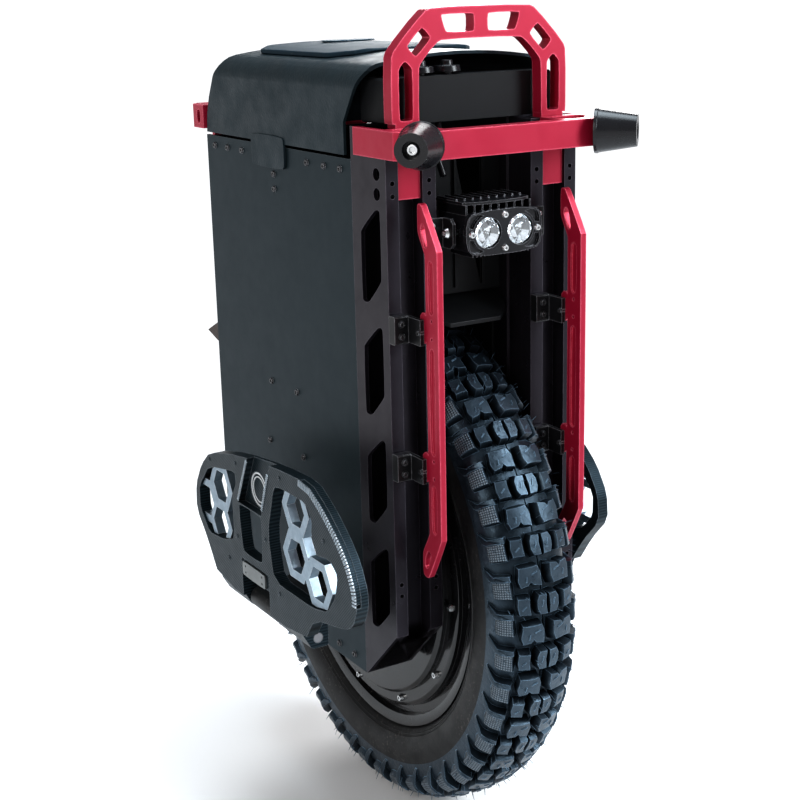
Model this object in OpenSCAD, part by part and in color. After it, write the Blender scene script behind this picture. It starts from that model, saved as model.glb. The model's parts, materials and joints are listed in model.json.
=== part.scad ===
// Electric unicycle: one motor wheel between two battery walls, with fold-up pedals.
// Origin at the wheel's centre, axle along X, front towards -Y, +Z up, millimetres.
// Left and right are the rider's: left is +X.

/* [Wheel] */
// Outer radius of the tyre over its tread
tyre_r = 259; // [257:1:261]
// Greatest width of the tyre
tyre_w = 93; // [90:1:94]
// Outer radius of the rim's flanges
rim_flange_r = 181.5; // [181:0.5:182.5]
// Width of the rim over its flanges
rim_w = 63; // [61:1:64]
// Bolts that hold each motor cover
cover_bolts = 11; // [8:1:12]
// Radius of the fixed axle
axle_r = 15; // [14:0.5:15]

/* [Body] */
// Width over the side panels
body_w = 201; // [200:1:203]
// Front face of the front posts
front_y = -161; // [-163:1:-160]
// Rear edge of the side panels
rear_y = 201; // [200:1:204]
// Depth of a front post
post_d = 59; // [58:1:60]
// Lower edge of the side panels
body_bottom = -76; // [-78:1:-74]
// Upper edge of the side panels
body_top = 414; // [412:1:415]
// Inner face of the posts, from the middle
post_inner_x = 50.5; // [50.5:0.5:51]
// Height of the crown of the top shell
shell_top = 503; // [502:1:504]

/* [Posts] */
// Height of a window in a post's side
window_h = 84; // [78:1:88]
// Step between windows
window_pitch = 103.5; // [100:0.5:104]
// Lower edge of the lowest window
window_z = -20; // [-20:1:-18]
// Distance between the two holes of an accessory pair
accessory_pitch = 11; // [10:0.5:12]
// Radius of an accessory hole
accessory_r = 2.1; // [2.1:0.1:2.4]

/* [Handle and bars] */
// Top of the arched handle
handle_top = 541.5; // [540:0.5:543]
// Height of the middle of both bars
bar_z = 432; // [431:1:433]
// Height of the section of both bars
bar_h = 24; // [22:1:24]
// Front face of the front bar
bar_front_y = -205; // [-207:1:-204]
// Radius of a bumper cone at its base
cone_r = 20; // [18:1:21]
// Length of a bumper cone
cone_len = 37; // [32:1:40]

/* [Guards] */
// Depth of a guard rail, front to back
guard_d = 19; // [17:1:20]
// Thickness of a guard rail
guard_t = 6; // [5.5:0.5:7]
// Front edge of a guard rail
guard_front_y = -212; // [-214:1:-210]

/* [Pedals] */
// Outer face of a folded pedal, from the middle
pedal_x = 165; // [164:1:166]
// Thickness of a pedal plate
pedal_t = 12; // [10:1:12]
// Hinge pin of a pedal, from the middle
pin_x = 148; // [147:1:148]
// Height of the hinge pin
pin_z = -30; // [-31:1:-29]
// Radius of the hinge pin
pin_r = 5; // [4:0.5:5]

/* [Headlight] */
// Width of the headlight
light_w = 80; // [76:1:82]
// Height of the headlight
light_h = 39; // [38:1:41]
// Height of the headlight's pivot
light_z = 352; // [351:1:354]
// Depth position of the headlight's pivot
light_pivot_y = -170; // [-171:1:-169]
// Front face of the headlight
light_front_y = -192; // [-194:1:-190]

/* [Hidden] */
$fn = 48;

half_w = body_w / 2;
sheet = 3;
post_rear_y = front_y + post_d;
body_mid_y = (post_rear_y + rear_y) / 2;
left = 1;
right = -1;
wheel_gap = 0.3;
bead_r = 175;
valve_r = 168;
cover_bolt_r = 151;
motor_shell_r = 139.3;
cover_x = 28;
bearing_r = 27.5;
bearing_w = 13;
bearing_x = 30.1;
plate_x = 48.2;
clamp_x = 51.6;
clamp_t = 20.4;
axle_end = 70;
fender_r = 300;
strip_outer_x = 94;
strip_inner_x = 57;
strip_edges = [63, 88];
post_top = bar_z + bar_h / 2 - 1;
pair_tops = [398, 278, 153, 33];
bracket_tops = [278, 153];
bracket_h = 25;
guard_x = 83;
guard_shift = 151;
crown_drop = 6;

// ---------- shared shapes ----------

// Turns a profile of [radius, x] points about the axle.
module about_axle(points) rotate([0, 90, 0]) rotate_extrude($fn = 120) polygon(points);

// Draws a shape once for the left side, or mirrored for the right.
module on_side(s) mirror([s < 0 ? 1 : 0, 0, 0]) children();

// Draws a shape on both sides.
module both_sides() for (s = [left, right]) on_side(s) children();

// Prism along X from x0 to x1 over an outline of [y, z] points.
module prism_x(x0, x1, points) translate([x0, 0, 0]) rotate([90, 0, 90])
    linear_extrude(x1 - x0) polygon(points);

// Prism along Y from y0 to y1 over an outline of [x, z] points.
module prism_y(y0, y1, points) translate([0, y1, 0]) rotate([90, 0, 0])
    linear_extrude(y1 - y0) polygon(points);

// Rod along X, along Y and along Z between two places on its own axis.
module rod_x(x0, x1, y, z, r) translate([x0, y, z]) rotate([0, 90, 0]) cylinder(r = r, h = x1 - x0);
module rod_y(y0, y1, x, z, r) translate([x, y1, z]) rotate([90, 0, 0]) cylinder(r = r, h = y1 - y0);
module rod_z(z0, z1, x, y, r) translate([x, y, z0]) cylinder(r = r, h = z1 - z0);

// Box between two opposite corners.
module box(a, b) translate(a) cube(b - a);

// Cuts the corners of a closed outline n times, which rounds it.
function rounded(p, n = 2, k = 0.25) = n == 0 ? p :
    rounded([for (i = [0:len(p) - 1]) let (a = p[i], b = p[(i + 1) % len(p)])
        each [a + k * (b - a), b - k * (b - a)]], n - 1, k);

// Rectangle outline about a centre.
function rect(c, w, h) =
    [c + [-w, -h] / 2, c + [w, -h] / 2, c + [w, h] / 2, c + [-w, h] / 2];

// Outline with its corners turned into short bevels of length b.
function bevelled(p, b) = [for (i = [0:len(p) - 1]) let (
        a = p[(i + len(p) - 1) % len(p)], q = p[i], c = p[(i + 1) % len(p)])
    each [q + b * (a - q) / norm(a - q), q + b * (c - q) / norm(c - q)]];

// Bevelled and then rounded outline: a soft corner of about length b.
function soft(p, b) = rounded(bevelled(p, b), 1);

// Button-head screw pointing along -Z, seated on z = 0, with a hex socket.
module screw(r, len, head_r, head_h) difference() {
    union() {
        translate([0, 0, -len]) cylinder(r = r, h = len + 0.1, $fn = 24);
        cylinder(r1 = head_r, r2 = head_r * 0.72, h = head_h, $fn = 32);
    }
    translate([0, 0, 0.4 * head_h]) cylinder(r = head_r * 0.45, h = head_h, $fn = 6);
}

// ---------- wheel ----------

tyre_half = tyre_w / 2;
tyre_outer = [[bead_r + wheel_gap, 14], [bead_r + wheel_gap, 27.2], [rim_flange_r + wheel_gap, 27.2],
    [rim_flange_r + 2.5, 32], [198, tyre_half - 5], [214, tyre_half - 0.5], [228, tyre_half],
    [243, tyre_half - 2.5], [tyre_r - 4, tyre_half - 16], [tyre_r, 12]];
tyre_inner = [[247, 0], [244, 24], [236, 36], [220, 39], [204, 36], [188, 22]];

module tyre() color("#262a2e") about_axle(concat(
    tyre_outer, [for (i = [len(tyre_outer) - 1:-1:0]) [tyre_outer[i][0], -tyre_outer[i][1]]],
    [for (i = [len(tyre_inner) - 1:-1:0]) [tyre_inner[i][0], -tyre_inner[i][1]]],
    [for (i = [1:len(tyre_inner) - 1]) tyre_inner[i]]));

rim_half = rim_w / 2;
rim_side = [[bead_r - 10, 0], [bead_r - 9, 10], [bead_r, 15], [bead_r, 27.5],
    [rim_flange_r, 27.5], [rim_flange_r, rim_half], [rim_flange_r - 2, rim_half],
    [171, 29], [169.5, 22], [161.5, 22], [160.5, 27.8], [motor_shell_r, 27.8]];

module cover_bolt_places() for (i = [0:cover_bolts - 1])
    rotate([i * 360 / cover_bolts + 19.3, 0, 0]) translate([0, cover_bolt_r, 0]) children();

module rim() color("#17181a") difference() {
    about_axle(concat(rim_side,
        [for (i = [len(rim_side) - 1:-1:1]) [rim_side[i][0], -rim_side[i][1]]]));
    both_sides() cover_bolt_places() rod_x(12, 29, 0, 0, 2.5);
    rod_x(0, 40, 0, -valve_r, 4.1);
}

module valve_stem() color("#2b2b2b") {
    rod_x(11.5, 36, 0, -valve_r, 4);
    rod_x(36, 43, 0, -valve_r, 3);
}

module motor_cover(s) color("#1d1e20") on_side(s) difference() {
    about_axle([[19, 43.4], [19, 46.4], [46, 46.4], [54, 43], [141, 41.5], [144.5, 38.5], [144.5, 34],
        [156, 34], [160, 31.5], [160, cover_x], [136, cover_x], [134, 36], [60, 36], [50, 30],
        [bearing_r + 0.02, 30], [bearing_r + 0.02, 43.4]]);
    cover_bolt_places() rod_x(20, 45, 0, 0, 2.7);
}

module motor_cover_bolts() color("#c9ccd0") both_sides() cover_bolt_places()
    translate([34.1, 0, 0]) rotate([0, 90, 0]) screw(2.4, 20, 3.9, 4);

module magnet_ring() color("#8f9396") about_axle([[129.6, -20], [motor_shell_r - 0.1, -20],
    [motor_shell_r - 0.1, 20], [129.6, 20]]);

module wheel_bearings() color("#b9bec4") both_sides() about_axle([
    [axle_r + 0.02, bearing_x], [bearing_r, bearing_x],
    [bearing_r, bearing_x + bearing_w], [axle_r + 0.02, bearing_x + bearing_w]]);

module axle() color("#9a9ea3") difference() {
    rod_x(-axle_end, axle_end, 0, 0, axle_r);
    rod_x(-axle_end - 1, axle_end + 1, 0, 0, 6);
    for (s = [left, right], t = [-1, 1])
        box([s > 0 ? clamp_x : -axle_end - 1, t > 0 ? 12 : -16, -16],
            [s > 0 ? axle_end + 1 : -clamp_x, t > 0 ? 16 : -12, 16]);
}

slots = 36;
module slot_places() for (i = [0:slots - 1]) rotate([i * 360 / slots, 0, 0]) children();

module stator() color("#6d7176") difference() {
    about_axle([[axle_r + 0.05, -22], [30, -22], [30, -6], [100, -6], [100, -17], [128.4, -17],
        [128.4, 17], [100, 17], [100, 6], [30, 6], [30, 22], [axle_r + 0.05, 22]]);
    slot_places() box([-18, -3.2, 107], [18, 3.2, 130]);
}

module windings() color("#b5713c") slot_places() box([-23, -3, 108], [23, 3, 124]);

// ---------- axle supports and inner structure ----------

hanger_eye_w = 54;
module hanger(s) color("#33363a") on_side(s) difference() {
    union() {
        prism_x(clamp_x, clamp_x + clamp_t, bevelled(rect([0, -12], 76, 100), 14));
        prism_y(-hanger_eye_w / 2, hanger_eye_w / 2, [[clamp_x + clamp_t - 1, -26],
            [clamp_x + clamp_t - 1, -7], [pin_x, pin_z + 9], [pin_x, pin_z - 9]]);
        rod_y(-hanger_eye_w / 2, hanger_eye_w / 2, pin_x, pin_z, 11);
    }
    rod_x(clamp_x - 1, clamp_x + clamp_t + 1, 0, 0, axle_r + 0.05);
    rod_y(-hanger_eye_w, hanger_eye_w, pin_x, pin_z, pin_r + 0.05);
}

module inner_plates() color("#2a2c2f") both_sides() difference() {
    prism_x(plate_x, plate_x + sheet, [[post_rear_y + 0.5, body_bottom + 2], [159.5, body_bottom + 2],
        [159.5, 400], [post_rear_y + 0.5, 400]]);
    rod_x(plate_x - 1, plate_x + sheet + 1, 0, 0, axle_r + 2);
    for (z = [110, 200, 290]) rod_x(plate_x - 1, plate_x + sheet + 1, body_mid_y, z, 22);
}

// Arched plate over the tyre, from a0 to a1 degrees above the front horizon.
module fender() color("#202225") difference() {
    intersection() {
        rod_x(-46, 46, 0, 0, fender_r + 2.5, $fn = 180);
        box([-46, -146, 180], [46, 190, fender_r + 10]);
    }
    rod_x(-47, 47, 0, 0, fender_r - 1, $fn = 180);
    translate([0, -146, 0]) both_sides() fender_corner();
}

// Takes the corner off the fender's front edge.
module fender_corner() translate([0, 0, 180]) linear_extrude(130)
    polygon([[26, -1], [47, -1], [47, 26], [40, 10]]);

module mudflap() color("#2b2320") difference() {
    prism_x(-74, 74, [[203, 228], [289, 186], [263, 178], [203, 170]]);
    prism_x(-71, 71, [[200, 225.8], [281, 186.4], [262, 181], [200, 173]]);
    box([-71, 202, 160], [71, 262, 181.5]);
}

pack_x = [54.3, 95];
module battery(s) color("#26486b") on_side(s) difference() {
    prism_x(pack_x[0], pack_x[1], bevelled([[-85, 60], [150, 60], [150, 395], [-85, 395]], 8));
    for (z = [140:70:350]) box([pack_x[1] - 1.5, -80, z], [pack_x[1] + 1, 145, z + 4]);
}

module motor_cable() color("#141414") {
    rod_x(75, 84, 0, 0, 4);
    translate([84, 0, 0]) sphere(r = 4);
    rod_y(-93, 0, 84, 0, 4);
    translate([84, -93, 0]) sphere(r = 4);
    rod_z(0, 452, 84, -93, 4);
    translate([84, -93, 452]) sphere(r = 4);
    rod_y(-98.2, -93, 84, 452, 4);
}

// ---------- posts and panels ----------

// Section of a front post on the left side: outer strip, guide channel, inner strip.
post_section = [[half_w, front_y], [strip_edges[1] + 0.1, front_y], [strip_edges[1] + 0.1, front_y + 16.3],
    [strip_edges[0] + 0.9, front_y + 16.3], [strip_edges[0] + 0.9, front_y], [post_inner_x, front_y],
    [post_inner_x, front_y + 14], [post_inner_x + 1.5, front_y + 16],
    [post_inner_x + 1.5, front_y + 36], [post_inner_x, front_y + 38],
    [post_inner_x, post_rear_y], [half_w, post_rear_y]];
post_core = [[half_w - 4, front_y + 5], [strip_edges[1] + 3.1, front_y + 5],
    [strip_edges[1] + 3.1, front_y + 19.3], [strip_edges[0] - 2.1, front_y + 19.3],
    [strip_edges[0] - 2.1, front_y + 5], [post_inner_x + 4.5, front_y + 5],
    [post_inner_x + 4.5, post_rear_y - 3], [half_w - 4, post_rear_y - 3]];

function window_outline(z) = soft([[front_y + 11, z + window_h], [front_y + 19, z + window_h],
    [front_y + 45, z + window_h - 21], [front_y + 45, z], [front_y + 34, z],
    [front_y + 11, z + 22]], 2.5);

module front_post(s) color("#1b1c1f") on_side(s) difference() {
    translate([0, 0, body_bottom]) linear_extrude(post_top - body_bottom) polygon(post_section);
    translate([0, 0, body_bottom - 1]) linear_extrude(post_top - body_bottom + 2) polygon(post_core);
    for (i = [0:3])
        prism_x(half_w - 5, half_w + 1, window_outline(window_z + i * window_pitch));
    for (z = [388, 405]) rod_x(half_w - 5, half_w + 1, front_y + 15.5, z, 5.5);
    for (z = pair_tops, x = [strip_outer_x, strip_inner_x], k = [0, 1])
        rod_y(front_y - 1, front_y + 6, x, z - k * accessory_pitch, accessory_r);
    prism_x(post_inner_x - 1, half_w + 1, [[front_y - 1, body_bottom - 1], [post_rear_y, body_bottom - 1],
        [front_y + 1, body_bottom + 58], [front_y - 1, body_bottom + 58]]);
    for (k = [0, 1]) rod_y(front_y - 1, front_y + 6, strip_inner_x, light_z + 7 - 14 * k, accessory_r);
}

module rear_posts() color("#1b1c1f") both_sides() difference() {
    box([post_inner_x, 160, body_bottom + 2], [half_w - sheet - 0.3, 195, body_top - 1]);
    box([post_inner_x + 3, 163, body_bottom], [half_w - sheet - 3.3, 192, body_top]);
}

// Places of the panel screws, as [y, z] on the panel's face.
screw_row = [-132, -102, -69, 69, 102, 132];
panel_screw_places = concat([for (d = screw_row) [body_mid_y + d, body_top - 10]],
    [[body_mid_y, body_top - 27], [body_mid_y, body_top - 41.5]],
    [[body_mid_y + 25, 176], [body_mid_y - 30, 176], [body_mid_y + 35, 111], [body_mid_y - 38, 111]],
    [for (y = [-80, -50, 150, 180]) [y, body_bottom + 11]]);

module side_panel(s) color("#2b2e31") on_side(s) difference() {
    box([half_w - sheet, post_rear_y + 0.2, body_bottom], [half_w, rear_y, body_top]);
    for (p = panel_screw_places) rod_x(half_w - 5, half_w + 1, p[0], p[1], 2.1);
    prism_x(half_w - 5, half_w + 1, bevelled([[-36, -48], [36, -48], [36, 18], [-36, 18]], 6));
}

module panel_screws() color("#3a3d40") both_sides() for (p = panel_screw_places)
    translate([half_w + 0.05, p[0], p[1]]) rotate([0, 90, 0]) screw(1.9, 3.2, 3.6, 1.8);

module front_cover() color("#16171a") {
    box([-50.2, -112, 284], [50.2, -109, body_top - 1]);
    for (x = [-30, 0, 30]) box([x - 1.5, -115, 290], [x + 1.5, -111.9, body_top - 5]);
}

module rear_cover() color("#202225") difference() {
    box([-97.2, 195.3, 236], [97.2, 198.8, body_top - 1]);
    for (z = [270:14:354]) box([-50, 190, z], [50, 205, z + 5]);
}

// ---------- top ----------

module control_box() color("#1c1d20") difference() {
    prism_y(-140, -100, soft([[-88, post_top + 1.5], [88, post_top + 1.5], [88, 484], [-88, 484]], 3));
    prism_y(-136, -104, [[-84, post_top + 5], [84, post_top + 5], [84, 480], [-84, 480]]);
    for (x = button_x) rod_z(470, 490, x, button_y, 5.2);
    rod_z(post_top, post_top + 8, cable_x, -125, 3.4);
}

button_x = [-43, -15.5];
button_y = -126.9;
module push_button(x) color("#101113") {
    rod_z(476, 486.2, x, button_y, 5);
    translate([x, button_y, 486.2]) cylinder(r1 = 12.8, r2 = 11.5, h = 5.4);
    translate([x, button_y, 491.5]) cylinder(r1 = 6, r2 = 5.2, h = 4.6);
}

cable_x = -24;
module light_cable() color("#121212") {
    rod_z(409, post_top + 7, cable_x, -125, 3);
    translate([cable_x, -125, 409]) sphere(r = 3);
    translate([cable_x, -125, 409]) rotate([150, 0, 0]) cylinder(r = 3, h = 15);
}

// Half widths and heights of the shell's section, from the skirt to the crown.
function shell_section(t, z0) = let (w = half_w + 1.5 - t, top = shell_top - t,
        side = [for (a = [0:15:75]) [w - 22 + 22 * cos(a), 474 - t + 22 * sin(a)]],
        lid = [for (x = [74:-18.5:-74]) [x, top - crown_drop * pow(x / 76, 2)]])
    concat([[w, z0]], side, lid, [for (i = [len(side) - 1:-1:0]) [-side[i][0], side[i][1]]], [[-w, z0]]);

// Side profile of the shell: slanted front edge, rounded rear.
function shell_profile(t, front) = concat([[-93 - front, body_top + 3 - 5 * front],
    [-93 - front, 446], [-122.5 - front, 490], [-122.5 - front, 520], [132, 520]],
    [[138, 503 - t], [158 - t / 2, 493 - t], [175 - t, 476 - t / 2], [188 - t, 453],
    [195 - t, 434], [197 - t, body_top + 3 - 5 * front]]);

module top_shell() color("#33383b") difference() {
    union() {
        intersection() {
            prism_y(-130, 200, shell_section(0, body_top + 3));
            prism_x(-110, 110, shell_profile(0, 0));
        }
        both_sides() prism_x(half_w + 0.3, half_w + 2.8,
            soft([[body_mid_y - 28, 393], [body_mid_y + 42, 393], [body_mid_y + 42, 424],
                [body_mid_y - 28, 424]], 4));
    }
    intersection() {
        prism_y(-140, 200, shell_section(3, body_top - 10));
        prism_x(-110, 110, shell_profile(3, 10));
    }
}

deck_y = [-48, 136];
// Side profile of the deck's rounded top.
deck_profile = [[-50, 490], [-50, 504], [-38, 506.5], [-15, 508], [90, 508], [118, 506.5],
    [140, 503], [140, 490]];
deck_section = concat(
    [for (x = [78:-13:-78]) [x, shell_top + 0.4 - crown_drop * pow(x / 76, 2)]],
    [for (x = [-78:13:78]) [x, shell_top + 4 - crown_drop * pow(x / 82, 2)]]);
module top_deck() color("#46535c") intersection() {
    prism_y(deck_y[0], deck_y[1], deck_section);
    prism_x(-90, 90, deck_profile);
    translate([0, 0, 490]) linear_extrude(20)
        polygon(rounded(rect([0, (deck_y[0] + deck_y[1]) / 2], 160, deck_y[1] - deck_y[0]), 2, 0.14));
}

module deck_pad() color("#5b6a74") intersection() {
    translate([0, 0, shell_top + 2]) linear_extrude(5)
        polygon(soft(rect([0, 75], 56, 26), 7));
    box([-30, 55, shell_top + 4.2], [30, 95, shell_top + 5.4]);
}

// ---------- handle, bars and bumpers ----------

leg_out = 91;
leg_in = 64;
tab_out = strip_edges[1] - 0.3;
tab_in = strip_edges[0] + 1.3;
tab_bottom = 383;
handle_y = [front_y + 3, front_y + 16];
module arch_outer() polygon(soft([[leg_out, bar_z], [leg_out, 505], [54.5, handle_top],
    [-54.5, handle_top], [-leg_out, 505], [-leg_out, bar_z]], 5));
module arch_inner() polygon(soft([[leg_in, bar_z - 40], [leg_in, 494], [43, 515],
    [-43, 515], [-leg_in, 494], [-leg_in, bar_z - 40]], 4));

module arch_handle() color("#c22e4a") {
    translate([0, handle_y[1], 0]) rotate([90, 0, 0]) linear_extrude(handle_y[1] - handle_y[0])
        difference() {
            arch_outer();
            arch_inner();
            translate([-120, bar_z - 30]) square([240, 45]);
            for (m = [0, 1]) mirror([m, 0]) {
                polygon(soft([[7, 520.5], [36, 520.5], [41, 535.5], [7, 535.5]], 1.8));
                polygon(soft([[70, 449], [83.5, 449], [83.5, 492], [77, 499], [70, 492]], 1.8));
                translate([63, 513.5]) rotate([0, 0, 45]) polygon(soft(rect([0, 0], 13, 22), 1.8));
            }
        }
    for (s = [-1, 1]) box([s > 0 ? tab_in : -tab_out, handle_y[0], tab_bottom],
        [s > 0 ? tab_out : -tab_in, handle_y[1], bar_z + 15.1]);
}

chamfer_x = 87;
bar_out = half_w + 6.5;
bar_back = front_y - 0.4;
bar_outline = [[bar_out, -118], [bar_out, bar_front_y + 20], [chamfer_x, bar_front_y],
    [-chamfer_x, bar_front_y], [-bar_out, bar_front_y + 20], [-bar_out, -118],
    [-half_w - 0.4, -118], [-half_w - 0.4, bar_back], [-60, bar_back], [-60, bar_front_y + 14],
    [60, bar_front_y + 14], [60, bar_back], [half_w + 0.4, bar_back], [half_w + 0.4, -118]];

module front_bar() color("#c22e4a") difference() {
    translate([0, 0, bar_z - bar_h / 2]) linear_extrude(bar_h) polygon(bar_outline);
    for (s = [-1, 1], z = [bar_z - bar_h / 2 - 1, bar_z + 5])
        translate([0, 0, z]) linear_extrude(9) polygon([for (p = soft([[66, bar_front_y + 12],
            [84, bar_front_y + 12], [98, bar_front_y + 26], [98, bar_back - 5], [66, bar_back - 5]], 3))
            [s * p[0], p[1]]]);
    for (s = [-1, 1]) bumper_place(s) translate([0, 0, -20]) cylinder(r = 3.1, h = 21);
}

cone_base = [90, -202];
cone_gap = 0.2;
module bumper_place(s) translate([s * (cone_base[0] + cone_gap), cone_base[1] - cone_gap, bar_z + 1])
    rotate([0, 90, s > 0 ? -45 : -135]) children();

module bumper(s) color("#15161a") bumper_place(s) difference() {
    union() {
        cylinder(r = cone_r, h = 3);
        translate([0, 0, 3]) cylinder(r1 = cone_r - 0.6, r2 = cone_r * 0.7, h = cone_len - 3);
    }
    translate([0, 0, cone_len - 8]) cylinder(r = 7.5, h = 12);
    translate([0, 0, -1]) cylinder(r = 3.1, h = cone_len);
}

module bumper_screws() color("#c9ccd0") for (s = [left, right]) bumper_place(s)
    translate([0, 0, cone_len - 7.9]) screw(3, cone_len + 5, 6, 3.6);

rear_bar_y = 233;
module rear_bar() color("#c22e4a") difference() {
    union() {
        translate([0, 0, bar_z - bar_h / 2]) linear_extrude(bar_h) polygon([[104, 200.5],
            [104, rear_bar_y - 8], [96, rear_bar_y], [-96, rear_bar_y], [-104, rear_bar_y - 8],
            [-104, 200.5], [-84, 200.5], [-84, rear_bar_y - 14], [84, rear_bar_y - 14], [84, 200.5]]);
        both_sides() box([64, 200.5, 372], [92, 206, bar_z]);
    }
    both_sides() prism_x(80, 110, soft(rect([212, bar_z], 8, 14), 2.5));
    both_sides() for (z = [380, 394]) rod_y(190, 210, 78, z, 2.6);
}

// ---------- guards ----------

guard_back_y = guard_front_y + guard_d;
guard_outline = [[guard_back_y + 11, 383], [guard_back_y + 11, 358], [guard_back_y, 340],
    [guard_back_y, 90], [guard_back_y + 12, 70], [guard_back_y + 12, 48], [guard_back_y + 3, 46],
    [guard_front_y, 88], [guard_front_y, 345], [guard_back_y + 5, 383]];
guard_mid_y = guard_front_y + guard_d / 2 + 1;

module groove(z0, z1) for (x = [-guard_x - 1, -guard_x + guard_t - 1.8])
    prism_x(x, x + 2.8, soft([[guard_mid_y - 4, z0], [guard_mid_y + 4, z0],
        [guard_mid_y + 4, z1], [guard_mid_y - 4, z1]], 3));

module guard_rail() color("#c22e4a") difference() {
    union() {
        prism_x(-guard_x, -guard_x + guard_t, soft(guard_outline, 2));
        for (z = bracket_tops) prism_x(-guard_x, -guard_x + guard_t * 0.6,
            bevelled([[guard_back_y - 1, z + 12], [guard_back_y + 9, z + 12],
                [guard_back_y + 9, z - 15], [guard_back_y - 1, z - 15]], 3));
    }
    groove(290, 336);
    groove(165, 260);
    groove(92, 137);
    for (z = bracket_tops, k = [-1, 1])
        rod_x(-guard_x - 1, -guard_x + guard_t + 1, guard_mid_y, z - 1.5 + 8 * k, 1.4);
    for (z = bracket_tops) rod_x(-guard_x - 1, 0, guard_back_y + 5, z - accessory_pitch / 2, 2.1);
    prism_x(-guard_x - 1, -guard_x + guard_t + 1, soft([[guard_back_y - 4.5, 348], [guard_back_y + 0.5, 346],
        [guard_back_y + 7, 361], [guard_back_y + 4.5, 367], [guard_back_y, 365]], 1.5));
    prism_x(-guard_x - 1, -guard_x + guard_t + 1, soft([[guard_back_y - 2, 70], [guard_back_y + 3, 74],
        [guard_back_y + 8.5, 64], [guard_back_y + 8.5, 56], [guard_back_y + 3.5, 56]], 1.5));
}

// The two guards are the same part: the left one is the right one moved sideways.
module guard(s) translate([s > 0 ? guard_shift : 0, 0, 0]) guard_rail();

module guard_bracket(z) {
    block = [-strip_outer_x - 7, -strip_outer_x + 7];
    difference() {
        union() {
            prism_x(block[0], block[1], bevelled([[front_y - 10, z + 7], [front_y - 0.3, z + 7],
                [front_y - 0.3, z - 18], [front_y - 10, z - 18]], 1));
            box([block[1] - 0.1, front_y - 29, z - 17], [-guard_x - 0.1, front_y - 0.3, z + 6]);
        }
        for (k = [0, 1]) rod_y(front_y - 11, front_y, -strip_outer_x, z - k * accessory_pitch, 2.1);
        rod_x(-guard_x - 5, -guard_x, guard_back_y + 5, z - accessory_pitch / 2, 2.1);
    }
}

module guard_brackets() color("#1a1b1e") for (dx = [0, guard_shift], z = bracket_tops)
    translate([dx, 0, 0]) guard_bracket(z);

module guard_screws() color("#c9ccd0") for (dx = [0, guard_shift], z = bracket_tops)
    translate([dx, 0, 0]) {
        for (k = [0, 1]) translate([-strip_outer_x, front_y - 10.1, z - k * accessory_pitch])
            rotate([90, 0, 0]) screw(1.95, 16, 3.4, 2.2);
        translate([-guard_x - 4.2, guard_back_y + 5, z - accessory_pitch / 2])
            rotate([0, -90, 0]) screw(1.95, 10, 3, 1.8);
    }

// ---------- headlight ----------

light_half = light_w / 2;
lens_x = 17;
lens_r = 13.5;
bezel_t = 4;
light_back_y = -146;
bolt_places = [[0, light_h / 2 - 5], [0, -light_h / 2 + 5], [-light_half + 5.5, 0], [light_half - 5.5, 0]];

visor = [for (a = [-75:15:75]) [36 * sin(a), light_front_y + 16 - 10 * cos(a)],
    each [[36, light_back_y + 8], [-36, light_back_y + 8]]];
module headlight_body() color("#17181b") difference() {
    union() {
        prism_y(light_front_y + bezel_t + 0.2, light_back_y,
            [for (p = soft(rect([0, 0], light_w - 2, light_h - 2), 8)) p + [0, light_z]]);
        for (i = [-4:4]) box([i * 8.4 - 0.9, light_front_y + 9, light_z + light_h / 2 - 4],
            [i * 8.4 + 0.9, light_back_y + 8, light_z + light_h / 2 + 4.6]);
        translate([0, 0, light_z + light_h / 2 + 4.5]) linear_extrude(2.4) polygon(visor);
        for (i = [-4:4]) box([i * 8.4 - 0.9, light_front_y + 24, light_z + light_h / 2 + 6.8],
            [i * 8.4 + 0.9, light_back_y + 8, light_z + light_h / 2 + 8.6]);
        for (i = [-7:7]) box([i * 4.2 - 0.8, light_front_y + 6, light_z - light_h / 2 - 1.6],
            [i * 4.2 + 0.8, light_back_y - 6, light_z - light_h / 2 + 3]);
        for (i = [-3:3]) box([i * 10.5 - 1.6, light_back_y - 1, light_z - light_h / 2 + 4],
            [i * 10.5 + 1.6, light_back_y + 8, light_z + light_h / 2 - 3]);
    }
    for (x = [-lens_x, lens_x]) rod_y(light_front_y, light_front_y + 26, x, light_z, lens_r + 1.5);
    for (p = bolt_places) rod_y(light_front_y, light_front_y + 18, p[0], light_z + p[1], 2);
    both_sides() rod_x(light_half - 12, light_half + 1, light_pivot_y, light_z, 3.1);
}

module headlight_bezel() color("#101113") difference() {
    prism_y(light_front_y, light_front_y + bezel_t,
        [for (p = soft(rect([0, 0], light_w, light_h), 8)) p + [0, light_z]]);
    for (x = [-lens_x, lens_x])
        rod_y(light_front_y - 1, light_front_y + bezel_t + 1, x, light_z, lens_r);
    for (p = bolt_places) rod_y(light_front_y - 1, light_front_y + 5, p[0], light_z + p[1], 2);
    for (sx = [-1, 1], sz = [-1, 1]) translate([0, 0, light_z])
        mirror([sx < 0 ? 1 : 0, 0, 0]) mirror([0, 0, sz < 0 ? 1 : 0]) bezel_pocket();
}

// Recess in one corner of the bezel, round the lens and a bolt's boss.
module bezel_pocket() difference() {
    prism_y(light_front_y - 1, light_front_y + 3, soft([[19, 0], [light_half - 3, 0],
        [light_half - 3, light_h / 2 - 3], [19, light_h / 2 - 3]], 4));
    rod_y(light_front_y - 2, light_front_y + 4, lens_x, 0, lens_r + 2.6);
    rod_y(light_front_y - 2, light_front_y + 4, light_half - 5.5, 0, 5);
    rod_y(light_front_y - 2, light_front_y + 4, 0, light_h / 2 - 5, 5);
}

module headlight_reflectors() color("#d9dcde") for (x = [-lens_x, lens_x])
    translate([x, light_front_y + 3.2, light_z]) rotate([-90, 0, 0]) rotate_extrude() polygon([
        [lens_r - 0.4, 0], [lens_r - 1.4, 0], [9.4, 10], [4.2, 15], [0, 15], [0, 16.5], [5, 16.5],
        [10.4, 11]]);

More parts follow.
